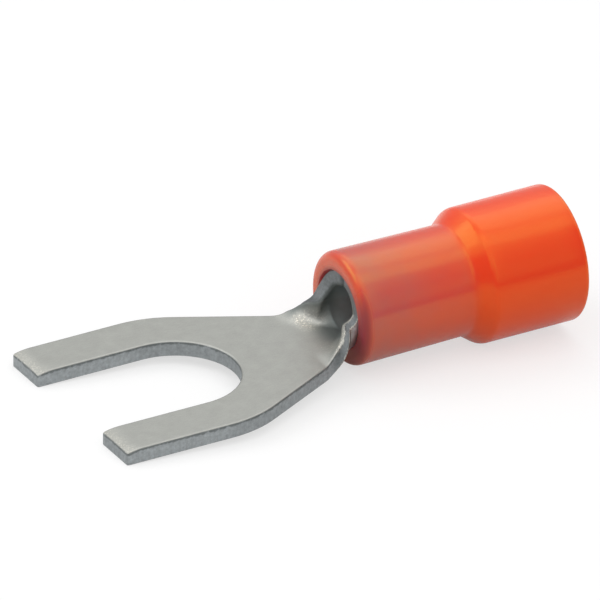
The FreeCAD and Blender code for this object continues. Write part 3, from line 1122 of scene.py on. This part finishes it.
@dataclass(frozen=True)
class TinnedSheetFinish:
    """Matt tin plate on copper: grained faces, darker cut edges and speckled bends, with painted highlights
    on the bends, the near lip and the tips, painted shade in the neck's hollow and at the mouth, and painted
    light in the bore.

    Shares are weights in a tone and reliefs weights in the bump. The shades of the cut faces follow each
    other along X; the third is painted shade towards the mouth.
    """

    face_tone: Tone = (0.362, 0.367, 0.344, 1.0)
    cut_tone: Tone = (0.45, 0.48, 0.49, 1.0)
    line_tone: Tone = (0.14, 0.155, 0.15, 1.0)
    painted_shade_tone: Tone = (0.17, 0.19, 0.185, 1.0)
    bore_painted_light_tone: Tone = (0.66, 0.71, 0.71, 1.0)
    painted_highlight_tone: Tone = (0.80, 0.765, 0.68, 1.0)
    roughness: float = 0.44
    cut_roughness: float = 0.56
    grain: Cloud = Cloud(15.0, 3.0, 0.6)
    grain_share: float = 0.36
    grain_roughness: float = 0.1
    drawn: Cloud = Cloud(1.0, 2.0)
    drawn_stretch: Triple = (3.0, 24.0, 24.0)
    drawn_share: float = 0.2
    drawn_relief: float = 0.8
    cloud: Cloud = Cloud(1.3, 3.0)
    cloud_level: float = 0.9
    cloud_share: float = 0.2
    fleck: Cloud = Cloud(11.0, 2.0, 0.55)
    sparkle: Ramp = Ramp(0.53, 0.64)
    sparkle_share: float = 0.4
    strain_share: float = 0.12
    strain_roughness: float = 0.07
    strain_relief: float = 6.0
    painted_shade_share: float = 0.85
    hollow_roughness: float = 0.16
    bore: Ramp = Ramp(9.0, 10.2)
    under_face: Ramp = Ramp(0.6, 0.75)
    beside_sleeve: Ramp = Ramp(8.65, 8.95)
    mottle: Cloud = Cloud(5.0, 4.0, 0.72)
    mottle_level: float = 0.4
    upright: Cloud = Cloud(1.0, 2.0, 0.6)
    upright_stretch: Triple = (9.0, 9.0, 0.7)
    upright_share: float = 0.2
    # Cut faces: darker at the tips' ends and a little darker from the slot's end on, painted shade towards
    # the mouth, then lighter at the wings' front faces.
    cut_shades: tuple[Ramp, ...] = (
        Ramp(-5.86, -5.8, 0.84, 1.0),
        Ramp(-1.5, 1.5, 1.0, 0.86),
        Ramp(7.0, 8.4, 1.0, 0.42),
        Ramp(8.6, 9.1, 1.0, 1.4),
    )
    cut_face: Ramp = Ramp(0.35, 0.95)
    cut_relief: float = 1.5
    wander: Cloud = Cloud(3.5, 3.0, 0.65)
    wander_share: float = 0.28
    upper_line: Ramp = Ramp(0.0, 0.08, 0.62, 0.0)
    relief_depth: float = 0.004

    def material(self) -> bpy.types.Material:
        """Makes the material.

        Returns:
            The material.
        """
        made, board = new_material("tinned_sheet")
        place = board.millimetres()
        along = board.coordinates()[0]
        grain = board.noise(place, self.grain)
        drawn = board.noise(board.millimetres(self.drawn_stretch), self.drawn)
        fleck = board.noise(place, self.fleck)
        cut, depth, strain, hollow = (board.mark(mark) for mark in Mark)
        level = self.cloud_level + self.cloud_share * board.noise(place, self.cloud)
        level = level + self.grain_share * (grain - NOISE_MIDDLE) + self.drawn_share * (drawn - NOISE_MIDDLE)
        # Painted highlight: the strain mark lightens the bends, the near lip and the tips, partly in flecks.
        worked = self.strain_share * strain + self.sparkle_share * board.step(fleck, self.sparkle) * strain
        tone = board.blend(worked, board.shade(level, self.face_tone), self.painted_highlight_tone)
        # Painted shade: the hollow mark darkens the neck's hollow and the mouth.
        tone = board.blend(self.painted_shade_share * hollow, tone, self.painted_shade_tone)
        # Painted light: the bore and the under face beside the sleeve are lightened.
        outside = board.step(depth, self.under_face) * board.step(along, self.beside_sleeve)
        tone = board.blend(board.sum("MAXIMUM", outside, board.step(along, self.bore)), tone, self.bore_painted_light_tone)
        upright = board.noise(board.millimetres(self.upright_stretch), self.upright)
        mottle = self.mottle_level + board.noise(place, self.mottle) + self.upright_share * upright
        for shade in self.cut_shades:
            mottle = mottle * board.step(along, shade)
        wander = depth + self.wander_share * (board.noise(place, self.wander) - NOISE_MIDDLE)
        cut_tone = board.shade(mottle, self.cut_tone)
        cut_tone = board.blend(board.step(wander, self.upper_line), cut_tone, self.line_tone)
        tone = board.blend(board.step(cut, self.cut_face), tone, cut_tone)
        rough = self.roughness + (self.cut_roughness - self.roughness) * cut
        rough = rough + self.grain_roughness * (grain - NOISE_MIDDLE)
        rough = rough + self.strain_roughness * strain + self.hollow_roughness * hollow
        relief = grain + self.drawn_relief * drawn
        relief = relief + self.strain_relief * (fleck * strain) + self.cut_relief * (fleck * cut)
        shader = board.node("BsdfPrincipled", {}, {
            "Base Color": tone, "Metallic": 1.0, "Roughness": rough,
            "Normal": board.bump(relief, self.relief_depth),
        })
        board.node("OutputMaterial", {}, {0: shader.outputs[0]})
        return made


@dataclass(frozen=True)
class VinylFinish:
    """Glossy, slightly translucent orange vinyl. Where it grips the barrel the metal greys it.

    Places along X are counted from the sleeve's front, but the grip's rear end from the barrel's and the rim
    from the sleeve's. By the barrel the mouth is darker, partly from the metal behind the thin vinyl and
    partly painted shade; lower on the near side it has painted shade. The rim has painted light.
    """

    tone: Tone = (0.93, 0.047, 0.019, 1.0)
    thin_tone: Tone = (0.59, 0.094, 0.104, 1.0)
    mouth_metal_and_shade_tone: Tone = (0.36, 0.032, 0.07, 1.0)
    rim_painted_light_tone: Tone = (0.95, 0.115, 0.03, 1.0)
    glint_tone: Tone = (0.58, 0.95, 0.15, 1.0)
    gloss_level: float = 0.85
    refraction: float = 1.5
    translucence: float = 0.35
    scatter_reach: Triple = (1.0, 0.22, 0.1)
    scatter_depth: float = 0.9
    roughness: float = 0.23
    cloud: Cloud = Cloud(0.8, 2.0)
    cloud_roughness: float = 0.06
    grip_front: Ramp = Ramp(0.0, 0.6, 0.45, 1.0)
    grip_back: Ramp = Ramp(-0.3, 0.5, 1.0, 0.0)
    grip_fade: Ramp = Ramp(0.0, 6.7, 0.95, 0.35)
    grip_level: float = 0.75
    grip_cloud: float = 0.5
    mouth: Ramp = Ramp(0.1, 0.5, 1.0, 0.0)
    mouth_bore: Ramp = Ramp(0.1, 0.35, 0.7, 0.0)
    below_painted_shade: Ramp = Ramp(-0.5, -2.1)
    mouth_across: float = 0.9
    mouth_rise: float = 0.45
    mouth_roughness: float = 0.3
    rim: Ramp = Ramp(-0.25, -0.05)
    ripple: Cloud = Cloud(1.1, 2.0)
    ripple_stretch: Triple = (0.25, 1.0, 1.0)
    pores: Cloud = Cloud(14.0, 2.0)
    pore_relief: float = 0.03
    relief_depth: float = 0.012

    def material(self, sleeve: InsulationSleeve) -> bpy.types.Material:
        """Makes the material for a sleeve.

        Args:
            sleeve: The sleeve, for the places where its wall changes.

        Returns:
            The material.
        """
        made, board = new_material("orange_vinyl")
        place = board.millimetres()
        along, across, height = board.coordinates()
        cloud = board.noise(place, self.cloud)
        gripped = board.step(along, self.grip_front, sleeve.front)
        gripped = gripped * board.step(along, self.grip_back, sleeve.barrel_back)
        gripped = gripped * board.step(along, self.grip_fade, sleeve.front)
        tone = board.blend(gripped * (self.grip_level + self.grip_cloud * cloud), self.tone, self.thin_tone)
        rise = height - sleeve.axis_height
        off_axis = board.sum("SQRT", across * across + rise * rise)
        # The mouth darkens by the barrel, partly from the metal behind the vinyl and partly painted shade,
        # and has painted shade lower on the near side.
        by_metal = board.step(off_axis, self.mouth_bore, sleeve.axis_height)
        below = board.step(self.mouth_across * across + self.mouth_rise * rise, self.below_painted_shade)
        dark = board.sum("MAXIMUM", by_metal, below) * board.step(along, self.mouth, sleeve.front)
        tone = board.blend(dark, tone, self.mouth_metal_and_shade_tone)
        # Painted light: the rim is lighter, as if lit through.
        tone = board.blend(board.step(along, self.rim, sleeve.back), tone, self.rim_painted_light_tone)
        ripple = board.noise(board.millimetres(self.ripple_stretch), self.ripple)
        relief = ripple + self.pore_relief * board.noise(place, self.pores)
        rough = self.roughness + self.cloud_roughness * (cloud - NOISE_MIDDLE) + self.mouth_roughness * dark
        shader = board.node("BsdfPrincipled", {}, {
            "Base Color": tone, "Roughness": rough, "IOR": self.refraction,
            "Specular IOR Level": self.gloss_level, "Specular Tint": self.glint_tone,
            "Subsurface Weight": self.translucence, "Subsurface Radius": self.scatter_reach,
            "Subsurface Scale": self.scatter_depth * MILLIMETRE,
            "Normal": board.bump(relief, self.relief_depth),
        })
        board.node("OutputMaterial", {}, {0: shader.outputs[0]})
        return made


@dataclass(frozen=True)
class PaleFloorFinish:
    """Plain pale paper that looks white to the camera and keeps the object's shadow."""

    seen_tone: Tone = (1.0, 1.0, 1.0, 1.0)
    bounce_tone: Tone = (0.5, 0.5, 0.5, 1.0)
    glow_share: float = 0.62
    mirrored_share: Ramp = Ramp(2.0, 9.0, 0.45, 0.8)

    def material(self) -> bpy.types.Material:
        """Makes the material.

        Returns:
            The material.
        """
        made, board = new_material("pale_paper")
        seen = board.node("LightPath", {}, {})
        # For glossy rays the paper glows, more towards +Y: painted light in the object's reflections.
        mirrored = Wire(board, seen.outputs["Is Glossy Ray"])
        mirrored = mirrored * board.step(board.coordinates()[1], self.mirrored_share)
        direct = board.sum("MAXIMUM", seen.outputs["Is Camera Ray"], mirrored)
        direct = board.sum("MAXIMUM", direct, seen.outputs["Is Transmission Ray"])
        tone = board.blend(direct, self.bounce_tone, self.seen_tone)
        paper = board.node("BsdfDiffuse", {}, {"Color": tone})
        glow = board.node("Emission", {}, {"Color": self.seen_tone, "Strength": 1.0})
        both = {0: direct * self.glow_share, 1: paper.outputs[0], 2: glow.outputs[0]}
        mixed = board.node("MixShader", {}, both)
        board.node("OutputMaterial", {}, {0: mixed.outputs[0]})
        return made


@dataclass(frozen=True)
class Lamp:
    """A soft rectangular lamp that looks at the terminal."""

    name: str
    azimuth: float
    elevation: float
    distance: float
    width: float
    height: float
    brightness: float
    tone: Triple = (1.0, 1.0, 1.0)

    def build(self, target: Vector) -> None:
        """Adds the lamp. Its power is its brightness times pi times its area.

        Args:
            target: The point that it looks at, in metres.
        """
        light = bpy.data.lights.new(self.name, "AREA")
        light.shape = "RECTANGLE"
        light.size = self.width * MILLIMETRE
        light.size_y = self.height * MILLIMETRE
        light.energy = self.brightness * math.pi * light.size * light.size_y
        light.color = self.tone
        lamp = bpy.data.objects.new(self.name, light)
        out = direction(self.azimuth, self.elevation)
        lamp.location = target + out * self.distance * MILLIMETRE
        lamp.rotation_euler = (-out).to_track_quat("-Z", "Y").to_euler()
        bpy.context.scene.collection.objects.link(lamp)


def direction(azimuth: float, elevation: float) -> Vector:
    """The way from the object to a viewer, by degrees: azimuth 0 stands in front, at -Y, and 90 at +X."""
    a, e = math.radians(azimuth), math.radians(elevation)
    return Vector((math.sin(a) * math.cos(e), -math.cos(a) * math.cos(e), math.sin(e)))


@dataclass
class Studio:
    """The pale floor that the terminal rests on, soft lamps, a white surround, and the camera."""

    tip_x: float = -5.88
    floor_size: float = 900.0
    view_azimuth: float = -28.9
    view_elevation: float = 28.8
    view_width: float = 29.34
    view_distance: float = 250.0
    view_centre: Triple = (6.97, 0.0, 3.055)
    clip_start: float = 1.0
    clip_end: float = 4000.0
    surround: float = 0.6
    overhead: float = 1.2
    dark_side: float = 0.06
    overhead_back: float = 0.93
    overhead_up: float = 0.36
    overhead_edge: Ramp = Ramp(-0.08, 0.06)
    zenith: Ramp = Ramp(0.3, 0.65, 0.45, 1.0)
    lamps: tuple[Lamp, ...] = (
        Lamp("key_lamp", -5.0, 62.0, 260.0, 300.0, 300.0, 0.85),
        Lamp("left_lamp", -120.0, 42.0, 300.0, 240.0, 160.0, 1.8),
        Lamp("back_lamp", 150.0, 55.0, 300.0, 260.0, 160.0, 0.8),
        Lamp("front_fill", 10.0, 20.0, 320.0, 220.0, 120.0, 0.5),
    )

    def add_floor(self, sleeve: InsulationSleeve) -> None:
        """Adds the floor, tilted so that the terminal rests on its prongs' ends and on the sleeve.

        The sleeve hangs lower than the tongue's underside. The floor is the steepest line from the prongs'
        ends to the sleeve's section, which it touches just behind the shoulder.

        Args:
            sleeve: The sleeve that rests on it.
        """
        line = sleeve.rounded_profile()
        tilt = math.atan(np.max((line[:, 1] - sleeve.axis_height) / (line[:, 0] - self.tip_x)))
        half = self.floor_size / 2
        along = Vector((math.cos(tilt), 0.0, -math.sin(tilt)))
        across = Vector((0.0, 1.0, 0.0))
        start = Vector((self.tip_x, 0.0, 0.0))
        signs = ((-1, -1), (1, -1), (1, 1), (-1, 1))
        corners = [(start + along * a * half + across * b * half) * MILLIMETRE for a, b in signs]
        mesh = bpy.data.meshes.new("pale_floor")
        mesh.from_pydata(corners, [], [(0, 1, 2, 3)])
        mesh.materials.append(PaleFloorFinish().material())
        floor = bpy.data.objects.new("pale_floor", mesh)
        bpy.context.scene.collection.objects.link(floor)

    def add_surround(self) -> None:
        """Sets the world: white where it is seen or mirrored, and plain soft light elsewhere."""
        world = bpy.data.worlds.new("surround")
        world.use_nodes = True
        board = NodeBoard(world.node_tree)
        seen = board.node("LightPath", {}, {})
        mirrored = board.sum("MAXIMUM", seen.outputs["Is Glossy Ray"], seen.outputs["Is Transmission Ray"])
        point = board.node("TexCoord", {}, {}).outputs["Generated"]
        way = board.node("SeparateXYZ", {}, {0: point})
        back, up = Wire(board, way.outputs[1]), Wire(board, way.outputs[2])
        overhead = board.step(self.overhead_back * back + self.overhead_up * up, self.overhead_edge)
        overhead = overhead * board.step(up, self.zenith)
        sky = self.dark_side + (self.overhead - self.dark_side) * overhead
        camera = Wire(board, seen.outputs["Is Camera Ray"])
        strength = camera + (1.0 - camera) * (mirrored * sky + (1.0 - mirrored) * self.surround)
        glow = board.node("Background", {}, {"Color": (1.0, 1.0, 1.0, 1.0), "Strength": strength})
        board.node("OutputWorld", {}, {0: glow.outputs[0]})
        bpy.context.scene.world = world

    def add_camera(self) -> None:
        """Adds the camera: a parallel view from the photograph's angle."""
        camera = bpy.data.cameras.new("photo_view")
        camera.type = "ORTHO"
        camera.ortho_scale = self.view_width * MILLIMETRE
        camera.clip_start = self.clip_start * MILLIMETRE
        camera.clip_end = self.clip_end * MILLIMETRE
        holder = bpy.data.objects.new("photo_view", camera)
        out = direction(self.view_azimuth, self.view_elevation)
        holder.location = (Vector(self.view_centre) + out * self.view_distance) * MILLIMETRE
        holder.rotation_euler = (-out).to_track_quat("-Z", "Y").to_euler()
        bpy.context.scene.collection.objects.link(holder)
        bpy.context.scene.camera = holder

    def build(self, sleeve: InsulationSleeve) -> None:
        """Adds everything round the object.

        Args:
            sleeve: The sleeve, on which the object rests.
        """
        self.add_floor(sleeve)
        self.add_surround()
        target = Vector(self.view_centre) * MILLIMETRE
        for lamp in self.lamps:
            lamp.build(target)
            log.info("%s: brightness %.2f", lamp.name, lamp.brightness)
        self.add_camera()
        bpy.context.scene.view_settings.view_transform = "Standard"


def mount(piece: bpy.types.Object, material: bpy.types.Material, node: str) -> None:
    """Dresses a piece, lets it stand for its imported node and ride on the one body.

    Args:
        piece: The finished piece.
        material: Its finish.
        node: The node that it stands for.
    """
    piece.data.materials.append(material)
    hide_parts(node)
    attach(piece, "root")
    log.info("%s stands for %s", piece.name, node)


def main() -> None:
    """Builds the metal piece, the sleeve and the studio, in that order."""
    logging.basicConfig(level=logging.INFO, format="%(name)s %(message)s")
    body = TerminalBody(FlatBlank())
    mount(body.build(), TinnedSheetFinish().material(), "terminal_body")
    sleeve = InsulationSleeve()
    mount(sleeve.build(), VinylFinish().material(sleeve), "insulation_sleeve")
    Studio().build(sleeve)


if __name__ == "__main__":
    main()
